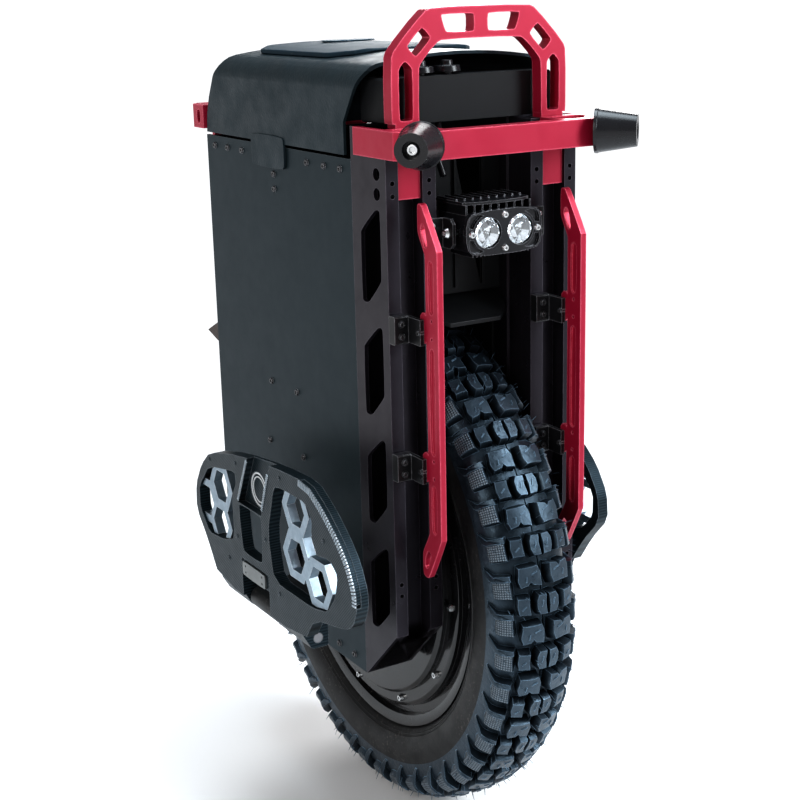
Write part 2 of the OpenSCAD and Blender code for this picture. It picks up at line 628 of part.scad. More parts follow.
module headlight_lenses() color("#cfd8de") for (x = [-lens_x, lens_x])
    translate([x, light_front_y + 3, light_z]) rotate([90, 0, 0])
        cylinder(r1 = lens_r - 0.3, r2 = lens_r - 2.5, h = 3.4);

module headlight_bolts() color("#c9ccd0") for (p = bolt_places)
    translate([p[0], light_front_y - 0.05, light_z + p[1]]) rotate([90, 0, 0]) screw(1.9, 12, 3.4, 2.4);

arm_x = light_half + 3;
module headlight_brackets() color("#141518") both_sides() difference() {
    union() {
        prism_x(arm_x, arm_x + sheet, bevelled([[front_y - 0.3, light_z - 13],
            [light_pivot_y - 10, light_z - 13], [light_pivot_y - 10, light_z + 13],
            [front_y - 0.3, light_z + 13]], 4));
        box([arm_x, front_y - 3.3, light_z - 13], [strip_edges[0] - 0.5, front_y - 0.3, light_z + 13]);
    }
    rod_x(arm_x - 1, arm_x + sheet + 1, light_pivot_y, light_z, 3.1);
    for (k = [-1, 1]) rod_y(front_y - 4, front_y, strip_inner_x, light_z + 7 * k, 2.1);
}

module headlight_pivots() color("#c9ccd0") both_sides() {
    translate([arm_x + sheet + 0.1, light_pivot_y, light_z]) rotate([0, 90, 0]) screw(3, 13, 5, 3);
    for (k = [-1, 1]) translate([strip_inner_x, front_y - 3.4, light_z + 7 * k])
        rotate([90, 0, 0]) screw(1.95, 9, 3, 2);
}

// ---------- pedals ----------

pedal_outline = rounded([[88, -27], [112, 8], [136, 34], [134, 62], [117, 88], [94, 107], [30, 121],
    [-50, 130], [-118, 133], [-148, 117], [-175, 96], [-192, 78], [-203, 55], [-203, 40], [-195, 22],
    [-181, 14], [-122, 2], [-101, -27]], 1, 0.2);
rear_window = rounded([[98, 91], [36, 102], [34, 91], [45, 73], [45, 29], [67, 21], [106, 17], [126, 38],
    [126, 62]], 1, 0.15);
front_window = rounded([[-50, 110], [-65, 113], [-114, 113], [-125, 99], [-123, 86], [-131, 68],
    [-156, 72], [-170, 61], [-164, 38], [-148, 19], [-119, 13], [-42, 13], [-33, 59]], 1, 0.15);
rear_cells = [[76, 75], [81, 34], [114, 50]];
front_cells = [[-88, 98], [-86, 52], [-128, 38]];
knuckle_y = [[-96, -30], [30, 84]];
channel_top = [[-20, 72], [32, 72], [5, 125], [2, 140], [-48, 140], [-42, 127], [-22, 80]];
channel_low = soft([[-18, 22], [25, 22], [31, 71], [-20, 71]], 4);

// A pedal is drawn folded up on the rider's right; the left one is turned half a turn about Z.
module pedal_side(s) rotate([0, 0, s > 0 ? 180 : 0]) children();

module pedal(s) color("#1a1c1f") pedal_side(s) difference() {
    union() {
        difference() {
            prism_x(-pedal_x, -pedal_x + pedal_t, pedal_outline);
            prism_x(-pedal_x - 1, -pedal_x + pedal_t + 1, rear_window);
            prism_x(-pedal_x - 1, -pedal_x + pedal_t + 1, front_window);
            prism_x(-pedal_x - 1, -pedal_x + pedal_t - 4, channel_top);
            prism_x(-pedal_x - 1, -pedal_x + pedal_t + 1, channel_low);
            rod_x(-pedal_x + pedal_t - 5, -pedal_x + pedal_t - 3.2, -1, 92, 18);
            box([-pedal_x - 1, -hanger_eye_w / 2 - 3, -40], [-pedal_x + 13, hanger_eye_w / 2 + 3, 14]);
        }
        for (k = knuckle_y) {
            prism_y(k[0], k[1], bevelled([[-pedal_x + 1, 4], [-pin_x + 6, 4], [-pin_x + 11, pin_z + 16],
                [-pin_x + 11, pin_z - 10], [-pin_x - 7, pin_z - 10], [-pedal_x + 1, pin_z + 6]], 2));
        }
        box([-pedal_x + 1.2, -31, -3.5], [-pedal_x + 4.8, 31, 15]);
    }
    rod_y(-120, 120, -pin_x, pin_z, pin_r + 0.05);
    grip_band(0.3);
    for (y = [-18, 18]) rod_x(-pedal_x, -pedal_x + 6, y + 2, 4, 1.6);
}

// Curved band along the front lobe's outer edge.
module grip_band(gap) intersection() {
    difference() {
        prism_x(-pedal_x - 2, -pedal_x + 4 + gap, [for (p = pedal_outline) p * 1.02]);
        prism_x(-pedal_x - 3, -pedal_x + 5 + gap,
            [for (p = pedal_outline) [-40, 50] + (0.968 - gap / 150) * (p - [-40, 50])]);
    }
    prism_x(-pedal_x - 4, -pedal_x + 6 + gap, [[-106 + gap, 95], [-106 + gap, 150], [-225, 150],
        [-225, 42 - gap], [-150, 42 - gap]]);
}

module pedal_grip(s) color("#c9ccd0") pedal_side(s) intersection() {
    grip_band(0);
    prism_x(-pedal_x - 1.5, -pedal_x + 4, pedal_outline);
}

// Joined six-sided rings, cut to a window.
module honeycomb(window, cells) intersection() {
    linear_extrude(9) polygon(window);
    linear_extrude(9) difference() {
        for (c = cells) translate(c) circle(r = 27, $fn = 6);
        for (c = cells) translate(c) circle(r = 17.5, $fn = 6);
    }
}

function shrunk(p, c, k) = [for (q = p) c + k * (q - c)];

module pedal_inserts(s) color("#dfe2e4") pedal_side(s)
    translate([-pedal_x + 2.5, 0, 0]) rotate([90, 0, 90]) {
        honeycomb(shrunk(rear_window, [75, 60], 0.985), rear_cells);
        honeycomb(shrunk(front_window, [-110, 66], 0.985), front_cells);
    }

module pedal_pins() color("#8f949a") for (s = [left, right]) pedal_side(s)
    rod_y(knuckle_y[0][0], knuckle_y[1][1], -pin_x, pin_z, pin_r);

module pedal_plate(s) color("#a7abad") pedal_side(s) difference() {
    prism_x(-pedal_x - 0.9, -pedal_x + 1.1, soft([[-23, -3], [27, -3], [27, 12], [-23, 12]], 2));
    for (y = [-18, 18], k = [-1, 1]) rod_x(-pedal_x - 2, -pedal_x + 0.2, y + 2, 4.5 + 3.4 * k, 1.2);
}

// ---------- nodes ----------

tyre();
rim();
valve_stem();
motor_cover(left);  // motor_cover_left
motor_cover(right);  // motor_cover_right
motor_cover_bolts();
magnet_ring();
wheel_bearings();
axle();
stator();
windings();
hanger(left);  // hanger_left
hanger(right);  // hanger_right
inner_plates();
fender();
mudflap();
battery(left);  // battery_left
battery(right);  // battery_right
motor_cable();
front_post(left);  // front_post_left
front_post(right);  // front_post_right
rear_posts();
side_panel(left);  // side_panel_left
side_panel(right);  // side_panel_right
panel_screws();
front_cover();
rear_cover();
control_box();
push_button(button_x[0]);  // power_button
push_button(button_x[1]);  // light_button
light_cable();
top_shell();
top_deck();
deck_pad();
arch_handle();
front_bar();
rear_bar();
bumper(left);  // bumper_left
bumper(right);  // bumper_right
bumper_screws();
guard(left);  // guard_left
guard(right);  // guard_right
guard_brackets();
guard_screws();
headlight_body();
headlight_bezel();
headlight_reflectors();
headlight_lenses();
headlight_bolts();
headlight_brackets();
headlight_pivots();
pedal(left);  // pedal_left
pedal(right);  // pedal_right
pedal_inserts(left);  // pedal_inserts_left
pedal_inserts(right);  // pedal_inserts_right
pedal_grip(left);  // pedal_grip_left
pedal_grip(right);  // pedal_grip_right
pedal_pins();
pedal_plate(left);  // pedal_plate_left
pedal_plate(right);  // pedal_plate_right
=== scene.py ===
import json
import math
import random

import bpy
import numpy as np
from mathutils import Matrix, Vector


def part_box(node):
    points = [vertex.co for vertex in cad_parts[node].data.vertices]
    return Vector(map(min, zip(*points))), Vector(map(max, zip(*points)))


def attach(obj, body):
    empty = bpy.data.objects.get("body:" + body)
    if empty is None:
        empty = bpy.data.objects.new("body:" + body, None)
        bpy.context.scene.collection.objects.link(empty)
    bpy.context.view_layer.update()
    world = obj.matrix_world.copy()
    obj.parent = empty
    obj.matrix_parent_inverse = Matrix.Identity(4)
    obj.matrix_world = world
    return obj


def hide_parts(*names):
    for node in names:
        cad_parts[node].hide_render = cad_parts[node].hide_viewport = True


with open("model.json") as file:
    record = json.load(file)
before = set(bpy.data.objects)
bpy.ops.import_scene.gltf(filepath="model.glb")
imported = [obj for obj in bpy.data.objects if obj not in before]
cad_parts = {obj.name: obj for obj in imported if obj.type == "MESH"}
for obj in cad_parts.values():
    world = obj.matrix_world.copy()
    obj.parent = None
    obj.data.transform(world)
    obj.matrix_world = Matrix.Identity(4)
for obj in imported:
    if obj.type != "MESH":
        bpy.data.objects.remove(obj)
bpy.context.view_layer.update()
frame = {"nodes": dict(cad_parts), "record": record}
NODES = frame["nodes"]
MM = 0.001
rng = random.Random(7)


# ---------- materials ----------

class Net:
    """A material's node network, built in short calls. Sizes are in millimetres."""

    def __init__(self, name):
        self.mat = bpy.data.materials.new(name)
        self.mat.use_nodes = True
        self.tree = self.mat.node_tree
        self.bsdf = self.tree.nodes["Principled BSDF"]
        self.coord = self.tree.nodes.new("ShaderNodeTexCoord")

    def feed(self, socket, value):
        """Links a socket to another one, or sets its own value."""
        if isinstance(value, bpy.types.NodeSocket):
            self.tree.links.new(value, socket)
        else:
            socket.default_value = value

    def add(self, kind, **inputs):
        made = self.tree.nodes.new("ShaderNode" + kind)
        for key, value in inputs.items():
            self.feed(made.inputs[key], value)
        return made

    def put(self, socket, value):
        self.feed(self.bsdf.inputs[socket], value)

    def noise(self, size_mm, detail=3.0, rough=0.55, stretch=(1, 1, 1)):
        """Cloudy noise in the object's own space."""
        mapping = self.add("Mapping", Vector=self.coord.outputs["Object"])
        mapping.inputs["Scale"].default_value = stretch
        made = self.add("TexNoise", Vector=mapping.outputs["Vector"], Scale=1000.0 / size_mm,
                        Detail=detail, Roughness=rough)
        return made.outputs["Fac"]

    def ramp(self, value, low, high, to_low=0.0, to_high=1.0):
        """Maps low..high to to_low..to_high and holds the ends."""
        made = self.add("MapRange", Value=value)
        for key, v in (("From Min", low), ("From Max", high), ("To Min", to_low), ("To Max", to_high)):
            made.inputs[key].default_value = v
        return made.outputs["Result"]

    def math(self, kind, a, b=0.0):
        made = self.tree.nodes.new("ShaderNodeMath")
        made.operation = kind
        for socket, value in zip(made.inputs, (a, b)):
            self.feed(socket, value)
        return made.outputs[0]

    def mix(self, share, a, b):
        made = self.tree.nodes.new("ShaderNodeMix")
        made.data_type = "RGBA"
        for socket, value in ((made.inputs[0], share), (made.inputs[6], a), (made.inputs[7], b)):
            self.feed(socket, value)
        return made.outputs[2]

    def bump(self, height, depth_mm, strength=1.0, normal=None):
        made = self.add("Bump", Height=height, Distance=depth_mm * MM, Strength=strength)
        if normal is not None:
            self.tree.links.new(normal, made.inputs["Normal"])
        return made.outputs["Normal"]

    def edge_mask(self, radius_mm):
        """1 near sharp edges, 0 on flats."""
        soft = self.add("Bevel", Radius=radius_mm * MM)
        soft.samples = 4
        geometry = self.tree.nodes.new("ShaderNodeNewGeometry")
        dot = self.tree.nodes.new("ShaderNodeVectorMath")
        dot.operation = "DOT_PRODUCT"
        self.tree.links.new(soft.outputs["Normal"], dot.inputs[0])
        self.tree.links.new(geometry.outputs["Normal"], dot.inputs[1])
        return self.ramp(dot.outputs["Value"], 0.99, 0.8)

    def gap_shade_mask(self, reach_mm):
        """1 in the open, falling to 0 in narrow gaps; the mask for painted shade in gaps."""
        made = self.add("AmbientOcclusion", Distance=reach_mm * MM)
        made.samples = 6
        return made.outputs["AO"]


SHEEN = (0.55, 0.8, 1.0)
NEUTRAL = (1.0, 1.0, 1.0)
DUST = (0.42, 0.38, 0.34)


def rgb(c):
    """A colour with its alpha, as a socket takes it."""
    return (c[0], c[1], c[2], 1.0)


def scaled(c, k):
    """A colour made lighter or darker."""
    return tuple(min(1.0, v * k) for v in c[:3])


def finish_material(name, color, rough, metal=0.0, mottle=0.12, mottle_mm=45, grain_mm=0.6,
                    grain_depth=0.02, rough_var=0.08, coat=0.0, edge=None, edge_mm=1.2, brushed=None,
                    dust=0.0, specular=0.5, tint=NEUTRAL):
    """Painted, anodised, moulded or bare surface; edge is the colour and share of a painted edge highlight,
    broken up like wear.
    """
    n = Net(name)
    cloud = n.noise(mottle_mm, 4)
    base = n.mix(n.ramp(cloud, 0.3, 0.7), rgb(scaled(color, 1 - mottle)), rgb(scaled(color, 1 + mottle)))
    speck = n.noise(grain_mm * 3, 2)
    base = n.mix(n.ramp(speck, 0.35, 0.75, 0.0, 0.25), base, rgb(scaled(color, 1 - 2 * mottle)))
    if dust:
        spots = n.math("MULTIPLY", n.ramp(n.noise(3.5, 6, 0.7), 0.56, 0.72),
                       n.ramp(n.noise(70, 3), 0.4, 0.65))
        base = n.mix(n.math("MULTIPLY", spots, dust), base, rgb(DUST))
    if edge:
        # painted highlight: sharp edges are made lighter than the surface, broken up by noise like wear
        edge_highlight_wear = n.math("MULTIPLY", n.edge_mask(edge_mm), n.ramp(n.noise(5, 4), 0.25, 0.6, 0.45, 1.0))
        base = n.mix(n.math("MULTIPLY", edge_highlight_wear, edge[3]), base, rgb(edge))
    n.put("Base Color", base)
    n.put("Metallic", metal)
    n.put("Roughness", n.ramp(n.noise(18, 5, 0.6), 0.3, 0.7, rough - rough_var, rough + rough_var))
    n.put("Specular IOR Level", specular)
    n.put("Specular Tint", rgb(tint))
    if coat:
        n.put("Coat Weight", coat)
        n.put("Coat Roughness", 0.08)
    if brushed:
        fine = n.noise(grain_mm, 3, 0.6, brushed)
    else:
        fine = n.noise(grain_mm, 2)
    n.put("Normal", n.bump(fine, grain_depth))
    return n.mat


LEATHER_CELL_MM = 2.2


def leather_material(name, color, rough):
    """Moulded plastic with a fine leather grain of joined cells."""
    n = Net(name)
    cells = n.add("TexVoronoi", Vector=n.coord.outputs["Object"], Scale=1000.0 / LEATHER_CELL_MM)
    cells.feature = "SMOOTH_F1"
    cloud = n.noise(60, 4)
    base = n.mix(n.ramp(cloud, 0.3, 0.7), rgb(scaled(color, 0.85)), rgb(scaled(color, 1.15)))
    base = n.mix(n.ramp(cells.outputs["Distance"], 0.2, 0.7, 0.0, 0.35), base, rgb(scaled(color, 0.5)))
    n.put("Base Color", base)
    n.put("Roughness", n.ramp(n.noise(25, 4), 0.3, 0.7, rough - 0.08, rough + 0.1))
    fine = n.bump(n.noise(0.5, 2), 0.02)
    n.put("Specular IOR Level", 0.34)
    n.put("Specular Tint", rgb(SHEEN))
    n.put("Normal", n.bump(n.math("SUBTRACT", 1.0, cells.outputs["Distance"]), 0.16, 0.9, fine))
    return n.mat


GRID_MM = 2.3
RUBBER_DARK = (0.004, 0.006, 0.009)
RUBBER_LIGHT = (0.018, 0.026, 0.035)
RUBBER_DUST = (0.1, 0.105, 0.11)
RUBBER_EDGE_HIGHLIGHT = (0.24, 0.37, 0.5)
RUBBER_GAP_SHADE = (0.002, 0.003, 0.004)
RUBBER_TINT = (0.55, 0.78, 1.0)
NET_DARK = (0.006, 0.008, 0.01)
NET_LIGHT = (0.14, 0.16, 0.18)


def tyre_material(name, grid=False):
    """Bluish black rubber with flow marks, dust, painted bluish highlights on the edges and painted shade in
    the gaps; grid adds the shoulders' fine net.
    """
    n = Net(name)
    cloud = n.noise(28, 5, 0.65)
    base = n.mix(n.ramp(cloud, 0.3, 0.7), rgb(RUBBER_DARK), rgb(RUBBER_LIGHT))
    dirt = n.math("MULTIPLY", n.ramp(n.noise(2.4, 6, 0.7), 0.5, 0.75), n.ramp(n.noise(40, 3), 0.4, 0.7))
    base = n.mix(n.math("MULTIPLY", dirt, 0.4), base, rgb(RUBBER_DUST))
    # painted highlight: a bluish light colour on the blocks' edges
    edge = n.math("MULTIPLY", n.edge_mask(0.9), n.ramp(n.noise(7, 4), 0.3, 0.65, 0.3, 1.0))
    base = n.mix(n.math("MULTIPLY", edge, 0.9), base, rgb(RUBBER_EDGE_HIGHLIGHT))
    n.put("Roughness", n.ramp(n.noise(9, 5, 0.6), 0.3, 0.7, 0.25, 0.44))
    n.put("Specular Tint", rgb(RUBBER_TINT))
    normal = n.bump(n.noise(1.1, 4, 0.6), 0.12)
    normal = n.bump(n.noise(5.5, 4, 0.65), 0.55, 1.0, normal)
    if grid:
        split = n.add("SeparateXYZ", Vector=n.coord.outputs["UV"])
        lines = None
        for axis in ("X", "Y"):
            turn = n.math("MULTIPLY", split.outputs[axis], math.pi / GRID_MM)
            wave = n.math("ABSOLUTE", n.math("SINE", turn))
            lines = wave if lines is None else n.math("MULTIPLY", lines, wave)
        base = n.mix(n.ramp(lines, 0.25, 0.6), rgb(NET_DARK), rgb(NET_LIGHT))
        normal = n.bump(lines, 0.6, 1.0, normal)
    # painted shade: the colour goes near black and the reflection dims in the gaps between blocks
    unshaded = n.ramp(n.gap_shade_mask(14), 0.25, 0.95)
    n.put("Base Color", n.mix(unshaded, rgb(RUBBER_GAP_SHADE), base))
    n.put("Specular IOR Level", n.math("MULTIPLY", unshaded, 0.85))
    n.put("Normal", normal)
    return n.mat


HATCH_MM = 3.0
HATCH_EDGE_HIGHLIGHT = (0.3, 0.33, 0.36)


def hatch_material(name, color, rough):
    """Anodised face with fine diagonal cuts and painted edge highlights, as on the pedals."""
    n = Net(name)
    split = n.add("SeparateXYZ", Vector=n.coord.outputs["Object"])
    y, z = split.outputs["Y"], split.outputs["Z"]
    k = 2 * math.pi / (HATCH_MM * MM)
    cuts = n.ramp(n.math("SINE", n.math("MULTIPLY", n.math("ADD", y, z), k)), -0.7, 0.7)
    base = n.mix(cuts, rgb(scaled(color, 0.2)), rgb(scaled(color, 2.2)))
    # painted bluish highlight along the edges, broken up by noise like wear
    edge_highlight_wear = n.math("MULTIPLY", n.edge_mask(1.2), n.ramp(n.noise(6, 4), 0.3, 0.65, 0.3, 1.0))
    base = n.mix(n.math("MULTIPLY", edge_highlight_wear, 0.7), base, rgb(HATCH_EDGE_HIGHLIGHT))
    n.put("Base Color", base)
    n.put("Specular IOR Level", 0.25)
    n.put("Specular Tint", rgb(SHEEN))
    n.put("Roughness", n.ramp(n.noise(15, 4), 0.3, 0.7, rough - 0.04, rough + 0.04))
    n.put("Normal", n.bump(cuts, 0.12, 0.9, n.bump(n.noise(0.5, 2), 0.02)))
    return n.mat


def glass_material(name):
    """Clear glass with a faint waviness."""
    n = Net(name)
    n.put("Base Color", n.mix(n.noise(20, 2), rgb((0.93, 0.97, 1.0)), rgb((0.98, 0.99, 1.0))))
    n.put("Transmission Weight", 1.0)
    n.put("IOR", 1.45)
    n.put("Roughness", n.ramp(n.noise(12, 3), 0.3, 0.7, 0.0, 0.03))
    n.put("Normal", n.bump(n.noise(9, 2), 0.05, 0.4))
    return n.mat


RED = (0.34, 0.008, 0.034)
# the edge entries paint a lighter highlight along sharp edges, broken up like wear
MATERIALS = {
    "tyre_rubber": tyre_material("tyre_rubber"),
    "gloss_black": finish_material("gloss_black", (0.008, 0.008, 0.009), 0.2, 0.1, coat=0.35, specular=0.3,
                                   grain_mm=1.5, grain_depth=0.004, dust=0.25),
    "black_rubber": finish_material("black_rubber", (0.008, 0.008, 0.01), 0.27, grain_mm=0.9,
                                    grain_depth=0.012, rough_var=0.03, specular=0.4),
    "screw_steel": finish_material("screw_steel", (0.66, 0.67, 0.68), 0.25, 1.0, mottle_mm=8,
                                   grain_mm=0.25, grain_depth=0.006),
    "black_screws": finish_material("black_screws", (0.05, 0.05, 0.055), 0.32, 0.8, mottle_mm=8,
                                    grain_mm=0.3, grain_depth=0.006,
                                    edge=(0.5, 0.5, 0.5, 0.8), edge_mm=0.5),
    "magnet_steel": finish_material("magnet_steel", (0.5, 0.51, 0.52), 0.3, 1.0),
    "bearing_steel": finish_material("bearing_steel", (0.2, 0.2, 0.21), 0.34, 1.0, grain_mm=0.4,
                                     brushed=(0.1, 1, 1)),
    "stator_steel": finish_material("stator_steel", (0.3, 0.31, 0.32), 0.45, 0.9, brushed=(6, 0.3, 0.3)),
    "copper_wire": finish_material("copper_wire", (0.62, 0.28, 0.12), 0.3, 0.9, grain_mm=1.0,
                                   grain_depth=0.1, brushed=(0.1, 3, 3)),
    "cast_black": finish_material("cast_black", (0.015, 0.016, 0.017), 0.45, 0.3, grain_mm=1.4,
                                  grain_depth=0.08, edge=(0.3, 0.3, 0.3, 0.5), dust=0.3),
    "inner_sheet": finish_material("inner_sheet", (0.012, 0.012, 0.013), 0.5, 0.3, specular=0.2),
    "dark_plastic": finish_material("dark_plastic", (0.007, 0.0075, 0.0085), 0.5, specular=0.2, grain_mm=1.2,
                                    grain_depth=0.04, rough_var=0.04),
    "flap_plastic": finish_material("flap_plastic", (0.035, 0.022, 0.017), 0.5, grain_mm=1.4,
                                    grain_depth=0.06, dust=0.5),
    "pack_wrap": finish_material("pack_wrap", (0.03, 0.08, 0.2), 0.3, coat=0.3, mottle_mm=30),
    "black_anodised": finish_material("black_anodised", (0.022, 0.019, 0.025), 0.34, 0.6, specular=0.3,
                                      grain_mm=0.5, grain_depth=0.008, brushed=(1, 1, 0.08),
                                      edge=(0.22, 0.2, 0.24, 0.7), edge_mm=0.9),
    "panel_paint": finish_material("panel_paint", (0.008, 0.0135, 0.0155), 0.42, 0.1, specular=0.2,
                                   grain_mm=0.8, grain_depth=0.02, mottle_mm=220, mottle=0.03,
                                   rough_var=0.03, tint=SHEEN, edge=(0.15, 0.16, 0.17, 0.6),
                                   edge_mm=0.8),
    "shell_plastic": leather_material("shell_plastic", (0.011, 0.017, 0.0195), 0.46),
    "deck_plastic": finish_material("deck_plastic", (0.014, 0.026, 0.036), 0.6, specular=0.12, tint=SHEEN,
                                    rough_var=0.03, grain_mm=2.0, grain_depth=0.01, dust=0.1),
    "pad_plastic": finish_material("pad_plastic", (0.03, 0.05, 0.066), 0.6, specular=0.14, tint=SHEEN,
                                   rough_var=0.03),
    "red_anodised": finish_material("red_anodised", RED, 0.4, 0.45, mottle=0.03, grain_mm=0.35,
                                    grain_depth=0.008, edge=(0.85, 0.16, 0.24, 0.9), edge_mm=2.2),
    "bracket_black": finish_material("bracket_black", (0.007, 0.007, 0.008), 0.34, 0.1, specular=0.3,
                                     edge=(0.3, 0.3, 0.32, 0.7)),
    "light_black": finish_material("light_black", (0.011, 0.011, 0.0135), 0.3, 0.4,
                                   edge=(0.35, 0.35, 0.38, 0.8), edge_mm=0.8),
    "reflector_chrome": finish_material("reflector_chrome", (0.9, 0.91, 0.92), 0.05, 1.0, mottle=0.02,
                                        rough_var=0.03, grain_mm=3, grain_depth=0.02),
    "lens_glass": glass_material("lens_glass"),
    "pedal_black": hatch_material("pedal_black", (0.006, 0.0095, 0.0115), 0.38),
    "insert_aluminium": finish_material("insert_aluminium", (0.31, 0.38, 0.44), 0.46, 1.0, mottle=0.12,
                                        mottle_mm=6, rough_var=0.12, grain_mm=0.5, grain_depth=0.05,
                                        edge=(0.95, 0.96, 0.97, 0.9), edge_mm=0.8),
    "plate_grey": finish_material("plate_grey", (0.2, 0.21, 0.21), 0.4, 0.9, grain_mm=0.3,
                                  brushed=(1, 0.1, 1)),
}
TYRE_GRID = tyre_material("tyre_grid", grid=True)
TYRE_SIDE = finish_material("tyre_side", (0.009, 0.009, 0.0095), 0.5, mottle=0.3, mottle_mm=20,
                            grain_mm=0.9, grain_depth=0.08, dust=0.35, specular=0.35)
RING_WHITE = finish_material("ring_white", (0.6, 0.62, 0.64), 0.4, mottle_mm=6, grain_mm=0.5)
SLOT_OF = {s["node"]: s["material_slot"] for s in frame["record"]["subparts"]}


# ---------- shared mesh tools ----------

class Pieces:
    """Collects vertices and faces of one mesh; positions are in millimetres."""

    def __init__(self):
        self.verts, self.faces, self.mats, self.uvs = [], [], [], []

    def add(self, verts, faces, mat=0, uvs=None):
        start = len(self.verts)
        self.verts += [tuple(v) for v in verts]
        for f in faces:
            self.faces.append(tuple(start + i for i in f))
            self.mats.append(mat)
        self.uvs += [tuple(u) for u in (uvs if uvs is not None else [(0, 0)] * len(verts))]

    def build(self, name, materials, body, replaced, smooth):
        """Makes the object, on a body, in the place of one CAD node; smooth is in degrees."""
        mesh = bpy.data.meshes.new(name)
        mesh.from_pydata([tuple(c * MM for c in v) for v in self.verts], [], self.faces)
        for material in materials:
            mesh.materials.append(material)
        mesh.polygons.foreach_set("material_index", self.mats)
        layer = mesh.uv_layers.new(name="UVMap")
        index = np.zeros(len(mesh.loops), int)
        mesh.loops.foreach_get("vertex_index", index)
        layer.data.foreach_set("uv", np.array(self.uvs, float)[index].ravel())
        mesh.shade_smooth()
        mesh.set_sharp_from_angle(angle=math.radians(smooth))
        mesh.validate()
        made = bpy.data.objects.new(name, mesh)
        bpy.context.scene.collection.objects.link(made)
        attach(made, body)
        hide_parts(replaced)


def circle(count):
    """Angles of equal steps round a circle."""
    return [2 * math.pi * k / count for k in range(count)]


def rings(p, loops, mat=0, cap_start=False, cap_end=False, uvs=None):
    """Adds equal closed loops of points to p, skinned, with or without flat ends."""
    count = len(loops[0])
    verts = [v for loop in loops for v in loop]
    faces = []
    for i in range(len(loops) - 1):
        a, b = i * count, (i + 1) * count
        faces += [(a + k, a + (k + 1) % count, b + (k + 1) % count, b + k) for k in range(count)]
    if cap_start:
        faces.append(tuple(reversed(range(count))))
    if cap_end:
        faces.append(tuple(range((len(loops) - 1) * count, len(loops) * count)))
    p.add(verts, faces, mat, uvs)


# ---------- tyre ----------

TREAD_R = 259.0
SECTION_R = 218.0
SIDE_R = 217.0
HALF_W = 46.5
KNOB_DEPTH = 10.5
CROWN_R = TREAD_R - KNOB_DEPTH
DEGREE = TREAD_R * math.pi / 180
PAIRS = 30
SHOULDERS = 45
SHOULDER_PHASE = 2.0
CARCASS_STEPS = 224
# from the shoulder over the sidewall and the bead, and back up inside to the crown, as (x, radius)
SIDE_PROFILE = [(41.2, 212), (41.0, 205), (39.8, 199), (38.2, 194.5), (36.6, 191.2), (36.9, 190.4),
                (36.0, 189.6), (34.9, 188), (35.2, 187.2), (34.3, 186.4), (33.0, 184.9), (30.5, 183),
                (27.2, 181.9), (27.2, 175.4), (14, 175.4), (20, 187), (33, 204), (36, 220), (33, 235),
                (24, 243.5), (0, 246)]
HAIRS = 420
HAIR_REACH = 56
HAIR_FOOT_R = 0.45
HAIR_TIP_R = 0.16


def tread_curve(depth, count=61):
    """Points (x, r) from the crown to the side, at a depth under the blocks' tops, and their lengths."""
    t = np.linspace(0, math.pi / 2, count)
    a, b = HALF_W - depth * 0.55, TREAD_R - SECTION_R - depth
    x = a * np.sin(t) ** 0.85
    r = SECTION_R + b * np.cos(t) ** 0.7
    s = np.concatenate([[0], np.cumsum(np.hypot(np.diff(x), np.diff(r)))])
    return x, r, s


TOP = tread_curve(0)
BASE = tread_curve(KNOB_DEPTH)


def on_tread(s, arc, height):
    """Point at arc length s from the crown and arc mm round the tyre, height mm over the carcass."""
    side = -1 if s < 0 else 1
    share = abs(s) / TOP[2][-1]
    k = height / KNOB_DEPTH
    x = (1 - k) * np.interp(share * BASE[2][-1], BASE[2], BASE[0]) + k * np.interp(abs(s), TOP[2], TOP[0])
    r = (1 - k) * np.interp(share * BASE[2][-1], BASE[2], BASE[1]) + k * np.interp(abs(s), TOP[2], TOP[1])
    if abs(s) > TOP[2][-1]:
        r -= abs(s) - TOP[2][-1]
    angle = arc / TREAD_R
    return (side * float(x), -float(r) * math.cos(angle), float(r) * math.sin(angle))


def resample(points, step=5.0):
    """Adds points along an outline's long edges, so that a block follows the tyre's curve."""
    out = []
    for a, b in zip(points, points[1:] + points[:1]):
        n = max(1, int(math.hypot(b[0] - a[0], b[1] - a[1]) / step))
        out += [(a[0] + (b[0] - a[0]) * i / n, a[1] + (b[1] - a[1]) * i / n) for i in range(n)]
    return out


BLOCK_FOOT = 1.5
BLOCK_RUNOUT = 0.92
# a block's cross section, as (inset, share of its height); below zero is its foot inside the carcass
BLOCK_LEVELS = [(-1.8, -1), (-1.0, 0.06), (0.7, 0.88), (1.7, 1.0), (3.2, 1.0)]


